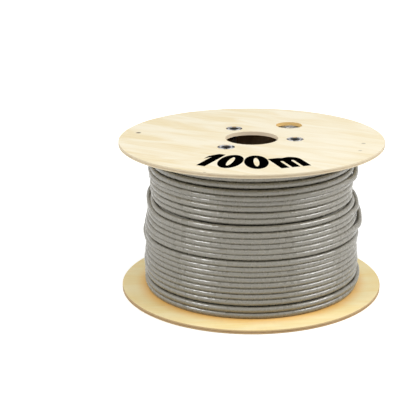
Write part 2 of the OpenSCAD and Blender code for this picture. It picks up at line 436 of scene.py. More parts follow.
def pocketShade(tree, colour, radius, inPly):  # painted shade by the tee nuts, on the floor of their pockets
    belowFace = addNode(tree, "MapRange", {
        "Value": inPly, "From Min": 0.72, "From Max": 0.8, "To Min": 1.0, "To Max": 0.0,
    })
    overSlots = addNode(tree, "MapRange", {"Value": inPly, "From Min": 0.5, "From Max": 0.6})
    share = addNode(tree, "Math", {0: belowFace, 1: overSlots}, operation="MULTIPLY")
    for side, limit in (("LESS_THAN", plywood["nuts"][1]), ("GREATER_THAN", plywood["nuts"][0])):
        inside = addNode(tree, "Math", {0: radius, 1: limit * mm}, operation=side)
        share = addNode(tree, "Math", {0: share, 1: inside}, operation="MULTIPLY")
    return addNode(tree, "Mix", {0: share, 6: colour, 7: plywood["pocketShade"]}, data_type="RGBA")


def poplarPlywood(name, wood):
    material, tree, shader, place = newMaterial(name, {"IOR": 1.5, "Specular IOR Level": 0.35})
    parts = addNode(tree, "SeparateXYZ", {0: place})
    grain = addNode(tree, "VectorRotate", {"Vector": place, "Angle": math.radians(wood["grain"])})
    fine = addNode(tree, "Mapping", {"Vector": grain, "Scale": plywood["fibres"]})
    fibre = addNode(tree, "TexNoise", {"Vector": fine, "Scale": 1.0, "Detail": 2.0})
    inPly = addNode(tree, "MapRange", {  # 0 at the underside of the flange, 1 at its top
        "Value": parts.outputs["Z"], "From Min": wood["under"] * mm,
        "From Max": (wood["under"] + reel["ply"]) * mm,
    })
    flat = addNode(tree, "VectorMath", {0: place, 1: (1, 1, 0)}, operation="MULTIPLY")
    radius = addNode(tree, "VectorMath", {0: flat}, operation="LENGTH")
    normal = addNode(tree, "NewGeometry").outputs["True Normal"]
    normalParts = addNode(tree, "SeparateXYZ", {0: normal})
    level = addNode(tree, "Math", {0: normalParts.outputs["Z"]}, operation="ABSOLUTE")
    faceShare = addNode(tree, "MapRange", {"Value": level, "From Min": 0.75, "From Max": 0.9})
    face = sandedFace(tree, wood, place, parts.outputs["X"], grain, fibre)
    edge = cutEdge(tree, wood, place, inPly)
    colour = addNode(tree, "Mix", {0: faceShare, 6: edge, 7: face}, data_type="RGBA")
    colour = warmed(tree, wood, colour, radius, faceShare)
    colour = pocketShade(tree, colour, radius, inPly)
    rough = addNode(tree, "MapRange", {"Value": fibre, "To Min": 0.52, "To Max": 0.7})
    bump = addNode(tree, "Bump", {"Height": fibre, "Strength": 0.5, "Distance": 0.05 * mm})
    setInputs(tree, shader, {"Base Color": colour, "Roughness": rough, "Normal": bump})
    return material


# grain: degrees that it lies turned by; streaks: their strength at -X and at +X; growth: strength of
# the growth lines; warmTo: radii in mm over which the warm ring of painted shade beside the winding
# fades, and its strength; knots: place, radius and depth of colour
upperWood = {
    "under": reel["upperZ"], "grain": 28, "streaks": (0.88, 0.48), "growth": 0.28,
    "face": "#efe7d0", "tan": "#e4d3a9", "fibre": "#dec698", "edge": "#d0c2a5", "core": "#a89072",
    "bore": "#f3e0c2", "warm": "#f4cb80", "warmTo": (1, 2, 0.0), "knot": "#38230a",
    "knots": [(-121.4, 20.5, 163.1, 2.6, 1.0), (116, -21, 163.1, 2.2, 0.5),
              (110, -49.5, 163.1, 2.0, 0.4), (-45, -132.5, 162.0, 2.2, 0.75)],
}
# The lower flange is the same plywood as the upper one; its colours hold painted light and shade: a
# brighter, more golden face for the warm light it gets in the shade of the upper flange and the winding,
# and a darker cut edge and core as painted shade.
lowerWood = {
    "under": 0.0, "grain": -8, "streaks": (0.6, 0.6), "growth": 0.25,
    "face": "#faeab9", "tan": "#f5dc98", "fibre": "#e6c880", "edge": "#b99d72", "core": "#7a5a38",
    "bore": "#d8bc8a", "warm": "#f2b048", "warmTo": (111, 128, 0.7), "knot": "#4a3320",
    "knots": [(-62, 38, 4.0, 2.0, 0.5)],
}
upperPlywood = poplarPlywood("poplarPlywoodUpper", upperWood)
lowerPlywood = poplarPlywood("poplarPlywoodLower", lowerWood)


# Spiral-wound kraft board: brown, matt, with a butt seam every 70 mm that winds round the tube.
kraft = {"paper": "#8f7659", "seam": "#4a3a2a", "fleck": "#a88f70", "band": 70.0}


def spiralKraftBoard():
    material, tree, shader, place = newMaterial("spiralKraftBoard", {"Roughness": 0.85, "IOR": 1.45})
    parts = addNode(tree, "SeparateXYZ", {0: place})
    turn = addNode(tree, "Math", {0: parts.outputs["Y"], 1: parts.outputs["X"]}, operation="ARCTAN2")
    turnShare = addNode(tree, "Math", {0: turn, 1: 2 * math.pi}, operation="DIVIDE")
    bands = addNode(tree, "Math", {0: parts.outputs["Z"], 1: 1000 / kraft["band"], 2: turnShare},
                    operation="MULTIPLY_ADD")
    within = addNode(tree, "Math", {0: bands}, operation="FRACT")
    seam = addNode(tree, "MapRange", {"Value": within, "From Max": 0.012, "To Min": 0.8, "To Max": 0.0})
    # flecks of pulp 1.4 mm wide and 7 mm high
    grain = addNode(tree, "Mapping", {"Vector": place, "Scale": (700, 700, 150)})
    pulp = addNode(tree, "TexNoise", {"Vector": grain, "Scale": 1.0, "Detail": 4.0})
    paper = addNode(tree, "Mix", {0: pulp, 6: kraft["paper"], 7: kraft["fleck"]}, data_type="RGBA")
    colour = addNode(tree, "Mix", {0: seam, 6: paper, 7: kraft["seam"]}, data_type="RGBA")
    bump = addNode(tree, "Bump", {"Height": pulp, "Strength": 0.4, "Distance": 0.1 * mm})
    setInputs(tree, shader, {"Base Color": colour, "Normal": bump})
    return material


kraftBoard = spiralKraftBoard()


# Extruded PVC jacket: satin grey. The twisted pairs under it press it into very low waves, which
# break each highlight into short dashes of uneven length.
jacket = {
    "grey": "#787468", "worn": "#6f6a5d",
    "wear": 35.0,                   # worn patches to a metre, about 30 mm each
    "smooth": 0.13, "dull": 0.46,   # roughness on the crests of its waves and between them
    "waveLong": 7.0,                # a wave's length along the cable, in mm
    "waveHigh": 0.36,
}


def extrudedPvc():
    shine = {"IOR": 1.55, "Specular IOR Level": 1.0}
    material, tree, shader, place = newMaterial("extrudedPvcJacket", shine)
    wave = addNode(tree, "TexNoise", {"Vector": place, "Scale": 1000 / jacket["waveLong"], "Detail": 1.0})
    bump = addNode(tree, "Bump", {"Height": wave, "Strength": 1.0, "Distance": jacket["waveHigh"] * mm})
    crest = addNode(tree, "MapRange", {"Value": wave, "From Min": 0.38, "From Max": 0.6},
                    interpolation_type="SMOOTHSTEP")
    rough = addNode(tree, "MapRange", {
        "Value": crest, "To Min": jacket["dull"], "To Max": jacket["smooth"],
    })
    cloud = addNode(tree, "TexNoise", {"Vector": place, "Scale": jacket["wear"], "Detail": 3.0})
    colour = addNode(tree, "Mix", {0: cloud, 6: jacket["grey"], 7: jacket["worn"]}, data_type="RGBA")
    setInputs(tree, shader, {"Base Color": colour, "Roughness": rough, "Normal": bump})
    return material


jacketPvc = extrudedPvc()


# Bright zinc plate over stamped and rolled steel: metallic, a little clouded; its dark clouds are partly
# real clouding of the plate and partly painted reflections of dark surroundings.
# dull: colour of the dark clouds, partly clouded plate and partly painted dark reflection
zinc = {"plate": "#cdced0", "dull": "#4e4f53", "clouds": 420.0, "rough": (0.2, 0.42)}


def zincPlate():
    material, tree, shader, place = newMaterial("brightZincPlate", {"Metallic": 1.0})
    cloud = addNode(tree, "TexNoise", {"Vector": place, "Scale": zinc["clouds"], "Detail": 3.0})
    share = addNode(tree, "MapRange", {"Value": cloud, "From Min": 0.42, "From Max": 0.62})
    colour = addNode(tree, "Mix", {0: share, 6: zinc["plate"], 7: zinc["dull"]}, data_type="RGBA")
    rough = addNode(tree, "MapRange", {
        "Value": cloud, "To Min": zinc["rough"][0], "To Max": zinc["rough"][1],
    })
    bump = addNode(tree, "Bump", {"Height": cloud, "Strength": 0.3, "Distance": 0.03 * mm})
    setInputs(tree, shader, {"Base Color": colour, "Roughness": rough, "Normal": bump})
    return material


zincSteel = zincPlate()


# Inside of a tapped nut: painted shade, nearly black, in spots of about 1 mm.
def paintedShadeThread():
    material, tree, shader, place = newMaterial("paintedShadeThread", {"Metallic": 0.5, "Roughness": 0.6})
    cloud = addNode(tree, "TexNoise", {"Vector": place, "Scale": 900.0, "Detail": 2.0})
    colour = addNode(tree, "Mix", {0: cloud, 6: "#121110", 7: "#2c2a28"}, data_type="RGBA")
    setInputs(tree, shader, {"Base Color": colour})
    return material


darkThread = paintedShadeThread()


# Drawn wire with its own finish: the tinned strands of the braid and the bare copper cores.
def drawnWire(name, bright, dark, rough):
    material, tree, shader, place = newMaterial(name, {"Metallic": 1.0})
    # drawing lines are too fine to show, so these are 0.5 mm wide
    cloud = addNode(tree, "TexNoise", {"Vector": place, "Scale": 2000.0, "Detail": 2.0})
    share = addNode(tree, "MapRange", {"Value": cloud, "From Min": 0.35, "From Max": 0.65})
    colour = addNode(tree, "Mix", {0: share, 6: bright, 7: dark}, data_type="RGBA")
    roughness = addNode(tree, "MapRange", {"Value": cloud, "To Min": rough - 0.08, "To Max": rough + 0.1})
    setInputs(tree, shader, {"Base Color": colour, "Roughness": roughness})
    return material


tinnedBraid = drawnWire("tinnedCopperBraid", "#c9c9c8", "#5d5c5a", 0.32)
brightCopper = drawnWire("brightDrawnCopper", "#e39a6c", "#b4663c", 0.28)


# Aluminium foil on polyester film, crinkled by hand in facets of 0.7 mm: bright, with the film's
# colour along its seam, which takes an eighth of the way round.
def laminatedFoil(name, film):
    material, tree, shader, place = newMaterial(name, {"Metallic": 1.0})
    crease = addNode(tree, "TexVoronoi", {"Vector": place, "Scale": 1400.0}, feature="DISTANCE_TO_EDGE")
    bump = addNode(tree, "Bump", {"Height": crease, "Strength": 0.7, "Distance": 0.12 * mm})
    around = addNode(tree, "SeparateXYZ", {0: addNode(tree, "TexCoord").outputs["UV"]}).outputs["Y"]
    seamFrom = addNode(tree, "MapRange", {"Value": around, "From Min": 0.115, "From Max": 0.125})
    seamTo = addNode(tree, "MapRange", {"Value": around, "From Min": 0.24, "From Max": 0.25})
    seam = addNode(tree, "Math", {0: seamFrom, 1: seamTo}, operation="SUBTRACT", use_clamp=True)
    colour = addNode(tree, "Mix", {0: seam, 6: "#d9dadc", 7: film}, data_type="RGBA")
    rough = addNode(tree, "MapRange", {"Value": seam, "To Min": 0.22, "To Max": 0.4})
    setInputs(tree, shader, {"Base Color": colour, "Roughness": rough, "Normal": bump})
    return material


# Solid polyethylene insulation, extruded and glossy, with a faint waxy cloud every 2 mm.
def polyethylene(name, colourCode):
    material, tree, shader, place = newMaterial(name, {"Roughness": 0.3, "IOR": 1.51})
    cloud = addNode(tree, "TexNoise", {"Vector": place, "Scale": 500.0, "Detail": 2.0})
    share = addNode(tree, "MapRange", {"Value": cloud, "To Max": 0.22})
    colour = addNode(tree, "Mix", {0: share, 6: colourCode, 7: "#ffffff"}, data_type="RGBA")
    setInputs(tree, shader, {"Base Color": colour})
    return material


insulationColours = {
    "blue": "#2458ae", "orange": "#f0762a", "green": "#2fa364", "brown": "#94503f",
    "white": "#eeedf2", "pink": "#e8507c",
}
insulation = {shade: polyethylene("polyethylene" + shade.title(), code)
              for shade, code in insulationColours.items()}


# Stencil ink on bare wood: flat black that soaks in, so fibres 0.5 mm wide show through faintly.
def stencilInk():
    matt = {"Roughness": 0.8, "IOR": 1.45, "Specular IOR Level": 0.0}
    material, tree, shader, place = newMaterial("stencilInk", matt)
    fine = addNode(tree, "Mapping", {"Vector": place, "Scale": (60, 2000, 1)})
    fibre = addNode(tree, "TexNoise", {"Vector": fine, "Scale": 1.0, "Detail": 2.0})
    share = addNode(tree, "MapRange", {"Value": fibre, "From Min": 0.45, "From Max": 0.8, "To Max": 0.35})
    colour = addNode(tree, "Mix", {0: share, 6: "#010101", 7: "#0c0a08"}, data_type="RGBA")
    setInputs(tree, shader, {"Base Color": colour})
    return material


blackInk = stencilInk()
print("stage: materials made")


# The flanges and the barrel keep the frame's own shapes

for node, material in (("upper_flange", upperPlywood), ("lower_flange", lowerPlywood),
                       ("barrel_tube", kraftBoard)):
    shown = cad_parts[node]
    shown.data.materials.clear()
    shown.data.materials.append(material)


# The cable on the barrel

winding = {
    "cable": 6.0,
    "wide": 1.06,         # how far the last layer is pressed oval, along the reel's axis and across it
    "thick": 0.95,
    "roundEnds": 40,      # rings over which it gets there from its round ends
    "topZ": 154.4,        # middle of the highest turn
    "pitch": 5.7,         # from one turn down to the next, where the list below gives no other
    "under": {1: 6.9, 2: 7.2, 3: 6.4, 4: 5.3, 5: 5.1, 6: 6.6, 7: 6.0, 8: 7.1, 9: 6.5, 12: 5.4, 13: 5.5,
              14: 7.3, 15: 5.9, 16: 5.5, 19: 6.0, 20: 6.0, 21: 6.0, 22: 7.6, 23: 6.5},
    "lowest": 7.25,       # the oval cable just clears the lower flange here
    "turns": 25,
    "layers": 7,
    "innerTube": (72, 8),    # rings to a turn, and sides
    "outerTube": (216, 16),
    "firstLayer": 71.3,   # radius to the middle of the cable
    "lastLayer": [(0, 109.5), (92, 109.3), (99, 107.2), (105, 105.6), (115, 105.0), (160, 105.0)],
    # the last layer isn't quite round: how much further out it lies towards +X and -X
    "sideways": [(0, 2.8), (40, 2.6), (50, 1.6), (57, 2.2), (68, 2.6), (78, 1.2), (88, -0.8),
                 (105, -0.8), (115, 0.0)],
    "innerEnd": 54.5,     # angle where the cable starts, under the drive hole
    "swellUp": (2.4, 4.2, 1.6, 1.2),    # how far the top turn of each inner layer rises there
    "swellWide": (8, 9, 14, 16),
    "stepFrom": 160.0,    # each turn drops by one place between these two angles
    "stepTo": 212.0,
    "outerEnd": 60.3,     # angle where the last turn leaves the winding
    "outerRadius": 116.2,
    "swingOut": 63,       # degrees over which it gets there
    "lean": 0.3,          # how far single turns of the last layer lie further out or in
    "waver": (0.22, 0.14),   # how far they waver out and up
    # how far single turns of the last layer stand out, or sit deeper
    "proud": {3: 0.5, 5: -1.2, 7: 0.3, 9: 0.4, 12: -0.5, 13: 0.5, 15: 0.6, 16: -0.2, 23: 0.6},
    # a turn that climbs over the ones above it: from and to which angle it climbs, where it is
    # back in its place, how high it climbs and how far it stands out there
    "riders": [
        {"turn": 4, "climb": (340, 372), "back": (440, 490), "rise": 5.0, "out": 4.0},
        {"turn": 10, "climb": (347, 374), "back": (440, 490), "rise": 6.0, "out": 3.2},
        {"turn": 13, "climb": (345, 375), "back": (440, 490), "rise": 10.0, "out": 4.0},
        {"turn": 23, "climb": (338, 368), "back": (400, 425), "rise": 5.0, "out": 2.0},
        {"turn": 9, "climb": (505, 545), "back": (600, 640), "rise": 9.0, "out": 3.0},
        {"turn": 15, "climb": (505, 540), "back": (600, 640), "rise": 4.0, "out": 2.6},
        {"turn": 20, "climb": (505, 545), "back": (600, 640), "rise": 2.0, "out": 1.6},
    ],
    "outEarly": (8, 14),  # it starts to stand out this many degrees before it climbs, over so many
    "closeUp": (0.5, 0.3, 0.14, 0.05),  # share of its climb that the turns below such a one follow
    "sinkIn": 1.2,                      # how far the turn above it is pressed in
    # swellings: angle, height, how far out, and how wide they are in degrees and millimetres
    "swells": [(355, 127, 1.6, 26, 7), (185, 128, 2.2, 24, 9)],
}
turnLevels = [winding["topZ"]]
for turn in range(winding["turns"] - 1):
    turnLevels.append(turnLevels[-1] - winding["under"].get(turn, winding["pitch"]))
dice = random.Random(7)
most = winding["lean"]
turnLean = [(dice.uniform(-most, most), dice.uniform(0, 6.28), dice.uniform(0, 6.28))
            for _ in range(winding["turns"])]


def placeAfter(step):  # layer and turn once the cable has made this many steps
    perLayer = winding["turns"]
    if step < perLayer - 1:
        return 0, step + 1
    layer = (step - perLayer + 1) // perLayer + 1
    turn = (step - perLayer + 1) % perLayer
    return layer, turn if layer % 2 == 0 else perLayer - 1 - turn


def spotAt(layer, turn, angle):  # radius and height of the middle of the cable
    # angle runs from stepFrom, where the turn begins, to 360 past stepTo, where it ends
    z = turnLevels[turn]
    lastRadius = readTable(winding["lastLayer"], z)
    r = winding["firstLayer"] + (lastRadius - winding["firstLayer"]) * layer / (winding["layers"] - 1)
    if layer < winding["layers"] - 1:
        if turn == 0 and layer < len(winding["swellUp"]):  # it swells a little into the drive hole
            off = (angle - winding["innerEnd"] + 180) % 360 - 180
            z += winding["swellUp"][layer] * math.exp(-(off / winding["swellWide"][layer]) ** 2)
        return r, z
    lean, phaseOut, phaseUp = turnLean[turn]
    waverOut, waverUp = winding["waver"]
    r += lean + winding["proud"].get(turn, 0.0) + waverOut * math.sin(math.radians(3 * angle) + phaseOut)
    r += readTable(winding["sideways"], z) * math.cos(math.radians(angle)) ** 2
    z = max(z + waverUp * math.sin(math.radians(2 * angle) + phaseUp), winding["lowest"])
    for at, height, out, wide, tall in winding["swells"]:
        off = (angle - at + 180) % 360 - 180
        r += out * math.exp(-(off / wide) ** 2 - ((z - height) / tall) ** 2)
    early, over = winding["outEarly"]
    for rider in winding["riders"]:
        climb, back = rider["climb"], rider["back"]
        stays = 1 - easeStep((angle - back[0]) / (back[1] - back[0]))
        below = turn - rider["turn"]
        climbed = easeStep((angle - climb[0]) / (climb[1] - climb[0])) * stays
        if below == 0:
            z += rider["rise"] * climbed
            r += rider["out"] * easeStep((angle - climb[0] + early) / over) * stays
        elif below == -1:
            r -= winding["sinkIn"] * climbed
        elif 0 < below <= len(winding["closeUp"]):
            z += winding["closeUp"][below - 1] * rider["rise"] * climbed
    return r, z


def cableSpot(angle):  # angle runs on from turn to turn, in degrees
    step = math.floor((angle - winding["stepFrom"]) / 360)
    local = angle - 360 * step
    t = easeStep((local - winding["stepFrom"]) / (winding["stepTo"] - winding["stepFrom"]))
    r0, z0 = spotAt(*placeAfter(step - 1), local + 360)
    r1, z1 = spotAt(*placeAfter(step), local)
    r = r0 + (r1 - r0) * t
    z = z0 + (z1 - z0) * t
    left = (angleEnd - angle) / winding["swingOut"]
    if left < 1:  # the last turn swings out to the free end
        share = (1 - left) ** 2
        r += (winding["outerRadius"] - r) * share
        z += (tail["z"] - z) * share
    turn = math.radians(angle)
    return Vector((r * math.cos(turn), r * math.sin(turn), z))


outerSteps = winding["turns"] * (winding["layers"] - 1) - 1
angleOuter = winding["stepFrom"] + 360 * outerSteps
angleEnd = winding["outerEnd"] + 360 * (outerSteps + winding["turns"])


def angleRange(first, last, perTurn):
    count = max(int((last - first) / 360 * perTurn), 1)
    return [first + (last - first) * i / count for i in range(count + 1)]


innerRings, innerSides = winding["innerTube"]
outerRings, outerSides = winding["outerTube"]
innerLine = [cableSpot(a) for a in angleRange(winding["innerEnd"], angleOuter, innerRings)]
outerLine = [cableSpot(a) for a in angleRange(angleOuter, angleEnd, outerRings)]


def pressedOval(i, k):  # wound tight, the cable lies a little wider than thick, except at both ends
    turn = 2 * math.pi * k / outerSides
    oval = 1 / math.hypot(math.cos(turn) / winding["thick"], math.sin(turn) / winding["wide"])
    amount = min(i, len(outerLine) - 1 - i, winding["roundEnds"]) / winding["roundEnds"]
    return 1 + (oval - 1) * amount


innerCable = tubeAlong("cable_inner_layers", innerLine, winding["cable"] / 2, innerSides)
outerCable = tubeAlong("cable_outer_layer", outerLine, winding["cable"] / 2, outerSides, shape=pressedOval)
finishPiece(innerCable, jacketPvc, "jacket", "cable_winding")
finishPiece(outerCable, jacketPvc, "jacket", "cable_winding")
print("stage: cable wound,", round((lineLength(innerLine) + lineLength(outerLine)) * mm, 1), "metres")


# Tie bolts and tee nuts

def boltPlace(number):
    angle = math.radians(reel["boltAngles"][number])
    return Matrix.Translation((reel["boltCircle"] * math.cos(angle) * mm,
                               reel["boltCircle"] * math.sin(angle) * mm, 0))


def threadRidge(name, base, tip, pitch, lowZ, turns):  # a wedge-shaped ridge wound by a screw modifier
    mesh = bpy.data.meshes.new(name)
    foot = pitch * 0.42
    flat = pitch * 0.08
    corners = [(base, lowZ - foot), (tip, lowZ - flat), (tip, lowZ + flat), (base, lowZ + foot)]
    mesh.from_pydata([(x * mm, 0, z * mm) for x, z in corners], [(0, 1), (1, 2), (2, 3), (3, 0)], [])
    ridge = addObject(name, mesh)
    applyModifier(ridge, "SCREW", angle=2 * math.pi, screw_offset=pitch * mm, iterations=turns,
                  steps=24, render_steps=24, axis="Z", use_normal_calculate=True)
    return ridge


nut = {
    "flange": 18.0, "thick": 1.3, "barrel": 8.0, "long": 8.0, "bore": 6.1, "pitch": 1.0,
    "notchWide": 4.6, "notchDeep": 3.0, "prongWide": 2.8, "prongThick": 1.2, "prongLong": 2.2,
    "prongAt": 6.36, "rim": 0.22, "mouth": 10.6, "mouthDeep": 1.2,
    "easedEnd": 0.35, "threadDeep": 0.45,
}


def nutDrill(top):  # for the bore and its countersunk mouth
    drill = addCylinder(48, nut["bore"] / 2, top - nut["thick"] - nut["long"] - 1, top + 1)
    startEdit(drill)
    pickFaces(drill, lambda middle, normal: normal.z > 0.9)
    bpy.ops.transform.translate(value=(0, 0, (-1 - nut["mouthDeep"]) * mm))
    extrudeBy(0, 0, nut["mouthDeep"])
    wider = nut["mouth"] / nut["bore"]
    bpy.ops.transform.resize(value=(wider, wider, 1.0))
    extrudeBy(0, 0, 1.0)
    endEdit()
    return drill


def makeTeeNut():
    top = reel["height"]
    under = top - nut["thick"]
    radius = nut["flange"] / 2
    piece = addCylinder(64, radius, under, top)
    cutWith(piece, nutDrill(top))
    quarterTurns = [Matrix.Rotation(math.radians(90 * number), 4, "Z") for number in range(4)]
    for turned in quarterTurns:  # the rim is punched out where each prong is bent down
        cutter = addBlock((nut["notchDeep"] * 2, nut["notchWide"], nut["thick"] * 3),
                          (radius, 0, (top + under) / 2))
        cutter.data.transform(turned)
        cutWith(piece, cutter)
    applyModifier(piece, "BEVEL", width=nut["rim"] * mm, segments=3, limit_method="ANGLE",
                  angle_limit=math.radians(40))
    barrel = addCylinder(48, nut["barrel"] / 2, under - nut["long"], under)
    startEdit(barrel)
    pickFaces(barrel, lambda middle, normal: abs(normal.z) > 0.9 and middle.z < under - 1)
    bpy.ops.mesh.bevel(offset=nut["easedEnd"] * mm, segments=2, affect="EDGES")
    endEdit()
    cutWith(barrel, nutDrill(top))
    prongs = []
    for turned in quarterTurns:
        prong = addBlock((nut["prongThick"], nut["prongWide"], nut["prongLong"]),
                         (nut["prongAt"], 0, under - nut["prongLong"] / 2))
        startEdit(prong)
        pickFaces(prong, lambda middle, normal: normal.z < -0.9)
        bpy.ops.transform.resize(value=(0.5, 0.25, 1.0))  # to a point
        endEdit()
        prong.data.transform(turned)
        prongs.append(prong)
    joinInto(piece, [barrel] + prongs)
    turns = 8
    thread = threadRidge("thread", nut["bore"] / 2 + 0.05, nut["bore"] / 2 - nut["threadDeep"],
                         nut["pitch"], under - nut["long"] + nut["pitch"], turns)
    joinInto(piece, [thread])
    return settle(piece, "teeNut")


bolt = {
    "head": 14.0, "headThick": 2.2, "headZ": 0.2, "shank": 6.0, "tipZ": 160.6,
    "threadFrom": 141.0, "pitch": 1.0, "core": 5.1, "point": 0.7, "socket": 4.0,
    "socketDeep": 1.3, "easedHead": 0.4, "threadSpare": 1.6,   # left bare at both ends of the thread
}


def makeTieBolt():
    headTop = bolt["headZ"] + bolt["headThick"]
    piece = addCylinder(64, bolt["head"] / 2, bolt["headZ"], headTop)
    startEdit(piece)
    pickFaces(piece, lambda middle, normal: normal.z > 0.9)
    bpy.ops.mesh.inset(thickness=(bolt["head"] - bolt["shank"]) / 2 * mm)
    extrudeBy(0, 0, bolt["threadFrom"] - headTop)
    bpy.ops.mesh.inset(thickness=(bolt["shank"] - bolt["core"]) / 2 * mm)
    extrudeBy(0, 0, bolt["tipZ"] - bolt["point"] - bolt["threadFrom"])
    extrudeBy(0, 0, bolt["point"])
    bpy.ops.transform.resize(value=(0.72, 0.72, 1.0))
    pickEdges(piece, lambda ends: all(math.hypot(p.x, p.y) > bolt["head"] / 2 - 0.1 for p in ends)
              and abs(ends[0].z - ends[1].z) < 0.1)
    bpy.ops.mesh.bevel(offset=bolt["easedHead"] * mm, segments=3, affect="EDGES")
    endEdit()
    cutWith(piece, addCylinder(6, bolt["socket"] / 2 / math.cos(math.pi / 6),
                               bolt["headZ"] - bolt["socketDeep"], bolt["headZ"] + bolt["socketDeep"]))
    turns = int((bolt["tipZ"] - bolt["threadFrom"] - bolt["threadSpare"]) / bolt["pitch"])
    ridge = threadRidge("rolledThread", bolt["core"] / 2 - 0.05, bolt["shank"] / 2, bolt["pitch"],
                        bolt["threadFrom"] + 0.5, turns)
    joinInto(piece, [ridge])
    return settle(piece, "tieBolt")


teeNut = makeTeeNut()
tieBolt = makeTieBolt()
for number in range(3):
    name = str(number + 1)
    place = boltPlace(number)
    made = finishPiece(copyTo(teeNut, "tee_nut_made_" + name, place), zincSteel, "zinc_steel",
                       "tee_nut_" + name)
    made.data.materials.append(darkThread)
    for face in made.data.polygons:  # the bore and its mouth take the painted shade
        inMouth = (face.center.xy - place.translation.xy).length < nut["mouth"] / 2 * mm
        if inMouth and face.center.z < (reel["height"] - 0.02) * mm:
            face.material_index = 1
    finishPiece(copyTo(tieBolt, "tie_bolt_made_" + name, place), zincSteel, "zinc_steel",
                "tie_bolt_" + name)
bpy.data.objects.remove(teeNut)
bpy.data.objects.remove(tieBolt)
print("stage: tee nuts and tie bolts made")


# Staples over the free end

staple = {"wire": 1.2, "bend": 3.75, "legTo": -6.3, "tip": 1.6, "spots": (7, 14)}


def makeStaple():
    clearSelection()
    bpy.ops.mesh.primitive_circle_add(vertices=14, radius=staple["wire"] / 2 * mm, fill_type="NGON",
                                      location=(0, staple["bend"] * mm, 0))
    piece = bpy.context.object
    applyPlace()
    startEdit(piece)
    bpy.ops.mesh.select_all(action="SELECT")
    bpy.ops.mesh.spin(steps=18, angle=math.pi, center=(0, 0, 0), axis=(-1, 0, 0))  # over the top
    bpy.ops.mesh.select_mode(type="FACE")
    for side in (1, -1):  # a leg from each end of the crown, with a chisel point
        pickFaces(piece, lambda middle, normal: middle.y * side > 3 and abs(middle.z) < 0.01
                  and abs(normal.z) > 0.9)
        extrudeBy(0, 0, staple["legTo"] + staple["tip"])
        extrudeBy(0, 0, -staple["tip"])
        bpy.ops.transform.resize(value=(1.0, 0.2, 1.0))
    endEdit()
    return settle(piece, "staple")


def routeRun(spot):
    return (route[min(spot + 1, len(route) - 1)] - route[max(spot - 1, 0)]).normalized()


stapleMade = makeStaple()
for number, spot in enumerate(staple["spots"]):
    run = routeRun(spot)
    name = str(number + 1)
    place = Matrix.Translation(route[spot] * mm) @ Matrix.Rotation(math.atan2(run.y, run.x), 4, "Z")
    finishPiece(copyTo(stapleMade, "staple_made_" + name, place), zincSteel, "zinc_steel",
                "staple_" + name)
bpy.data.objects.remove(stapleMade)
print("stage: staples made")


# Stripped end: braid, foiled pairs, twisted wires and their copper

strip = {
    "clear": 0.1, "rise": 6.0, "turn": 5.0,
    "braidFrom": -2.5, "braidLong": 16.0, "braidStart": 2.3, "braidEnd": 4.2, "braidFull": 12.0,
    "strands": 30, "strandRadius": 0.13, "lay": 34.0,   # strands each way, and length of one turn
    "overUnder": 0.12, "combedFrom": 9.5,               # the strands are loose from here on
    "straighter": 0.45, "crimp": 0.1,                   # how the loose strands lie
    "cutUneven": (-3.5, 1.6), "splay": (-0.35, 0.55),
    "foilRadius": 0.95, "foilFrom": 3.0, "foilLong": 14.0,
    "dents": (-0.13, 0.09), "ragged": (-0.1, 0.5), "flare": 0.12,
    "bundle": 1.25, "squeezed": 0.86,                   # the pairs inside the braid
    "pairFrom": 16.4, "pairStep": 2.1, "pairFan": 9.0,  # and past it, fanned out in degrees
    "wireRadius": 0.5, "wireFrom": 9.0, "wireLong": 12.0, "twist": 13.2, "coreRadius": 0.25,
    "insulationBore": 0.54,                             # share of the wire's radius
    "apart": 0.53, "loosens": 0.0035,                   # the wires from the middle of their pair
}
heading = route[-1] - route[-2]
stripPlace = (Matrix.Translation(route[-1]) @ Matrix.Rotation(math.atan2(heading.y, heading.x), 4, "Z")
              @ Matrix.Translation((strip["clear"], 0, 0))
              @ Matrix.Rotation(math.radians(strip["turn"]), 4, "Z")
              @ Matrix.Rotation(math.radians(-strip["rise"]), 4, "Y"))


def inStrip(points):
    return [stripPlace @ Vector(point) for point in points]


def braidRadius(x):
    t = easeStep((x + 1) / (strip["braidFull"] + 1))
    return strip["braidStart"] + (strip["braidEnd"] - strip["braidStart"]) * t


def makeBraid():
    dice = random.Random(21)
    steps = 14
    strands = []
    for way in (1, -1):
        for number in range(strip["strands"]):
            start = 2 * math.pi * (number + dice.uniform(-0.3, 0.3)) / strip["strands"]
            endAt = strip["braidLong"] + dice.uniform(*strip["cutUneven"])
            splay = dice.uniform(*strip["splay"])
            points = []
            sizes = []
            for k in range(steps + 1):
                x = strip["braidFrom"] + (endAt - strip["braidFrom"]) * k / steps
                loose = max(x - strip["combedFrom"], 0) / 6
                slower = 1 - strip["straighter"] * min(loose, 1)
                turn = start + way * 2 * math.pi * x / strip["lay"] * slower
                r = braidRadius(x) + way * strip["overUnder"] + splay * loose * loose
                r += strip["crimp"] * math.sin(x * 2.2 + number)
                points.append((x, r * math.cos(turn), r * math.sin(turn)))
                # cut to a point over its last four parts
                sizes.append(strip["strandRadius"] * (1.25 - 0.27 * max(k - steps + 4, 0)))
            strands.append(tubeAlong("strand", inStrip(points), sizes, 5))
    braid = joinInto(strands[0], strands[1:])
    braid.name = "braid_strands"
    braid.data.name = "braid_strands"
    return braid


def pairMiddle(number, x):  # where a pair runs: bundled inside the braid, side by side past it
    corner = math.radians(45 + 90 * (1, 2, 0, 3)[number])
    bundled = Vector((x, strip["bundle"] * math.cos(corner), strip["bundle"] * math.sin(corner)))
    out = (number - 1.5) * strip["pairStep"]
    fan = math.radians((number - 1.5) * strip["pairFan"])
    past = x - strip["pairFrom"]
    laid = Vector((strip["pairFrom"] + past * math.cos(fan), out + past * math.sin(fan), 0))
    if past >= 0:
        return laid
    return bundled.lerp(Vector((x, out + past * math.sin(fan), 0)), easeStep(x / strip["pairFrom"]))


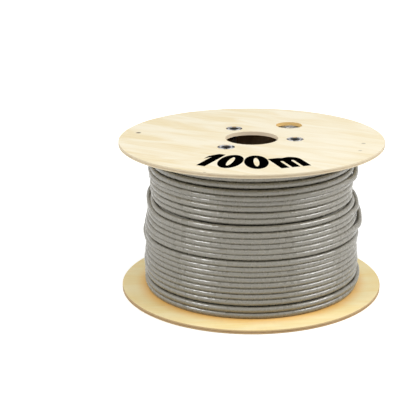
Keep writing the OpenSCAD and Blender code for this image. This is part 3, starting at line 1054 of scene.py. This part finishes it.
def makeFoil(number, name):
    dice = random.Random(40 + number)
    steps = 44
    sides = 14
    first = strip["foilFrom"]
    last = strip["pairFrom"] + strip["foilLong"]
    xs = [first + (last - first) * k / steps for k in range(steps + 1)]
    dents = [[dice.uniform(*strip["dents"]) for _ in range(sides)] for _ in range(steps + 1)]
    ragged = [dice.uniform(*strip["ragged"]) for _ in range(sides)]

    def crinkle(i, k):
        flare = strip["flare"] * max(i - steps + 3, 0) * ragged[k]
        squeeze = strip["squeezed"] if i < 16 else 1.0
        return squeeze * (1 + dents[i][k]) + flare

    return tubeAlong(name, inStrip([pairMiddle(number, x) for x in xs]), strip["foilRadius"], sides,
                     capStart=False, capEnd=False, shape=crinkle, smooth=False)


def wireLine(number, side, end):  # one wire of a pair, which untwists a little towards its end
    fan = math.radians((number - 1.5) * strip["pairFan"])
    across = Vector((-math.sin(fan), math.cos(fan), 0))
    up = Vector((0, 0, 1))
    steps = 40
    points = []
    for k in range(steps + 1):
        x = strip["wireFrom"] + (end - strip["wireFrom"]) * k / steps
        past = x - strip["foilLong"]
        turn = 2 * math.pi * past / strip["twist"]
        reach = strip["apart"] + strip["loosens"] * max(past - 3, 0) ** 2
        beside = (across * math.cos(turn) + up * math.sin(turn)) * side * reach
        points.append(pairMiddle(number, strip["pairFrom"] + x) + beside)
    return inStrip(points)


braidPiece = finishPiece(makeBraid(), tinnedBraid, "braid", "cable_braid")
onCable = [braidPiece]
wireEnd = strip["foilLong"] + 0.1 + strip["wireLong"]
mates = {"blue": "white", "orange": "white", "green": "pink", "brown": "white"}
for number, colour in enumerate(mates):
    foil = makeFoil(number, "pair_foil_" + colour)
    film = laminatedFoil("laminatedFoil" + colour.title(), "#3d63a8" if colour == "orange" else "#b9bdc4")
    onCable.append(finishPiece(foil, film, "foil", "foil_" + colour))
    for side, shade, tag in ((1, colour, ""), (-1, mates[colour], "_mate")):
        line = wireLine(number, side, wireEnd)
        wire = tubeAlong("insulation_" + colour + tag, line, strip["wireRadius"], 14, capEnd=False)
        core = tubeAlong("copper_" + colour + tag, wireLine(number, side, wireEnd + 0.1),
                         strip["coreRadius"], 10)
        cutSquare(wire, line, strip["wireRadius"], strip["insulationBore"])
        endEdit()
        finishPiece(wire, insulation[shade], "insulation_" + shade, "wire_" + colour + tag)
        finishPiece(core, brightCopper, "copper", "core_" + colour + tag)
        onCable += [wire, core]
finishPiece(tailPiece, jacketPvc, "jacket", "cable_tail")
print("stage: stripped end made")


# The length marked on the upper flange

marking = {
    # glyph, angle of its middle, width and height
    "glyphs": [("1", -114.6, 17, 47), ("0", -102.6, 24, 49), ("0", -87.2, 24, 49), ("m", -68.8, 31, 36)],
    "baseline": 119.5,
    "stroke": 9.2,
    "thick": 0.06,
    "sunk": 0.01,
}


def arcPoints(x, y, wide, high, first, last, steps=14):
    turns = [math.radians(first + (last - first) * k / steps) for k in range(steps + 1)]
    return [(x + wide * math.cos(turn), y + high * math.sin(turn)) for turn in turns]


def glyphShape(glyph, wide, high):  # loops of points: the outline, then a hole if there is one
    bar = marking["stroke"]
    if glyph == "1":
        right = wide * 0.78
        return [[(right - bar, 0), (right, 0), (right, high), (right - bar * 0.75, high),
                 (0, high * 0.76), (0, high * 0.52), (right - bar, high * 0.72)]]
    if glyph == "0":
        outer = arcPoints(wide / 2, high / 2, wide / 2, high / 2, 0, 354, 59)
        inner = arcPoints(wide / 2, high / 2, wide / 2 - bar, high / 2 - bar, 0, 354, 59)
        return [outer, inner]
    bar *= 0.9
    gap = (wide - 3 * bar) / 2
    top = high * 0.66
    outline = [(0, 0), (0, high), (bar * 0.9, high), (bar * 0.96, high * 0.9)]
    for number in range(2):
        left = bar + number * (gap + bar)
        last = (65, 20)[number]  # the first arch runs into the second
        outline += arcPoints(left + gap * 0.42, top, gap * 0.58 + bar, high - top, 118, last)
    outline += [(wide, top), (wide, 0), (wide - bar, 0)]
    outline += arcPoints(wide - bar - gap / 2, top * 0.94, gap / 2, gap * 0.62, 0, 180)
    outline += [(bar + gap + bar, 0), (bar + gap, 0)]
    outline += arcPoints(bar + gap / 2, top * 0.94, gap / 2, gap * 0.62, 0, 180)
    return [(outline + [(bar, 0)])[::-1]]


def makeMarking():
    letters = []
    for glyph, angle, wide, high in marking["glyphs"]:
        loops = glyphShape(glyph, wide, high)
        points = [((x - wide / 2) * mm, y * mm, 0) for loop in loops for x, y in loop]
        mesh = bpy.data.meshes.new("glyph")
        if len(loops) == 1:
            mesh.from_pydata(points, [], [tuple(range(len(points)))])
        else:
            count = len(loops[0])
            mesh.from_pydata(points, [], [(k, (k + 1) % count, count + (k + 1) % count, count + k)
                                          for k in range(count)])
        turn = math.radians(angle)
        place = Matrix.Translation((marking["baseline"] * math.cos(turn) * mm,
                                    marking["baseline"] * math.sin(turn) * mm,
                                    (reel["height"] - marking["sunk"]) * mm))
        mesh.transform(place @ Matrix.Rotation(turn + math.pi / 2, 4, "Z"))
        letters.append(addObject("glyph", mesh))
    piece = joinInto(letters[0], letters[1:])
    applyModifier(piece, "SOLIDIFY", thickness=marking["thick"] * mm, offset=1.0)
    return settle(piece, "length_marking")


finishPiece(makeMarking(), blackInk, "ink")
print("stage: marking made")


# Floor, lamps and white surroundings

def seenDirectly(tree):  # 1 for what is seen straight, in a mirror or through glass
    path = addNode(tree, "LightPath")
    seen = addNode(tree, "Math", {0: path.outputs["Is Camera Ray"], 1: path.outputs["Is Glossy Ray"]},
                   operation="ADD")
    return addNode(tree, "Math", {0: seen, 1: path.outputs["Is Transmission Ray"]},
                   operation="ADD", use_clamp=True)


def paleFloor():
    paper = {"Roughness": 0.9, "Base Color": "#f4f4f2"}
    material, tree, shader, place = newMaterial("paleFloor", paper)
    # the paper sweep is lit more strongly further out
    away = addNode(tree, "VectorMath", {0: place}, operation="LENGTH")
    glow = addNode(tree, "MapRange", {"Value": away, "From Min": 0.3, "From Max": 1.3, "To Min": 0.42})
    white = addNode(tree, "Emission", {"Color": (1, 1, 1, 1), "Strength": glow})
    lit = addNode(tree, "AddShader", {0: shader, 1: white})
    mixed = addNode(tree, "MixShader", {0: seenDirectly(tree), 1: shader, 2: lit})
    setInputs(tree, tree.nodes["Material Output"], {"Surface": mixed})
    return material


clearSelection()
below = -0.4 * mm  # so that it doesn't share a plane with the reel's underside
bpy.ops.mesh.primitive_plane_add(size=8, location=(0, 0, below))
floor = bpy.context.object
floor.name = "floor"
floor.data.materials.append(paleFloor())

world = bpy.data.worlds.new("whiteRoom")
world.use_nodes = True
scene.world = world
tree = world.node_tree
strength = addNode(tree, "MapRange", {"Value": seenDirectly(tree), "To Min": 0.38})
setInputs(tree, tree.nodes["Background"], {"Color": (1, 1, 1, 1), "Strength": strength})

lamps = {  # where each soft lamp stands, what it aims at, its size in metres and its power in watts
    "leftSoftbox": ((-1.305, -0.755, 1.22), (0, 0, 0.08), (0.85, 0.7), 16),
    "rightSoftbox": ((1.495, -0.27, 1.22), (0, 0, 0.08), (1.35, 0.7), 23.6),
    "frontFill": ((0.1, -1.45, 1.35), (0, 0, 0.08), (1.6, 0.8), 3.8),
    "overhead": ((0.2, 0.25, 1.7), (0, 0, 0.1), (1.4, 1.2), 1.2),
    "leftFill": ((-1.3, 0.25, 0.55), (-0.1, 0, 0.02), (0.7, 0.5), 0.9),
    "rightFill": ((1.3, 0.3, 0.55), (0.1, 0, 0.02), (0.7, 0.5), 0.7),
}
for name, (spot, aim, size, power) in lamps.items():
    lampData = bpy.data.lights.new(name, "AREA")
    lampData.shape = "RECTANGLE"
    lampData.size, lampData.size_y = size
    lampData.energy = power
    lamp = addObject(name, lampData)
    lamp.location = spot
    lamp.rotation_euler = (Vector(aim) - Vector(spot)).to_track_quat("-Z", "Y").to_euler()
print("stage: floor and lamps set")
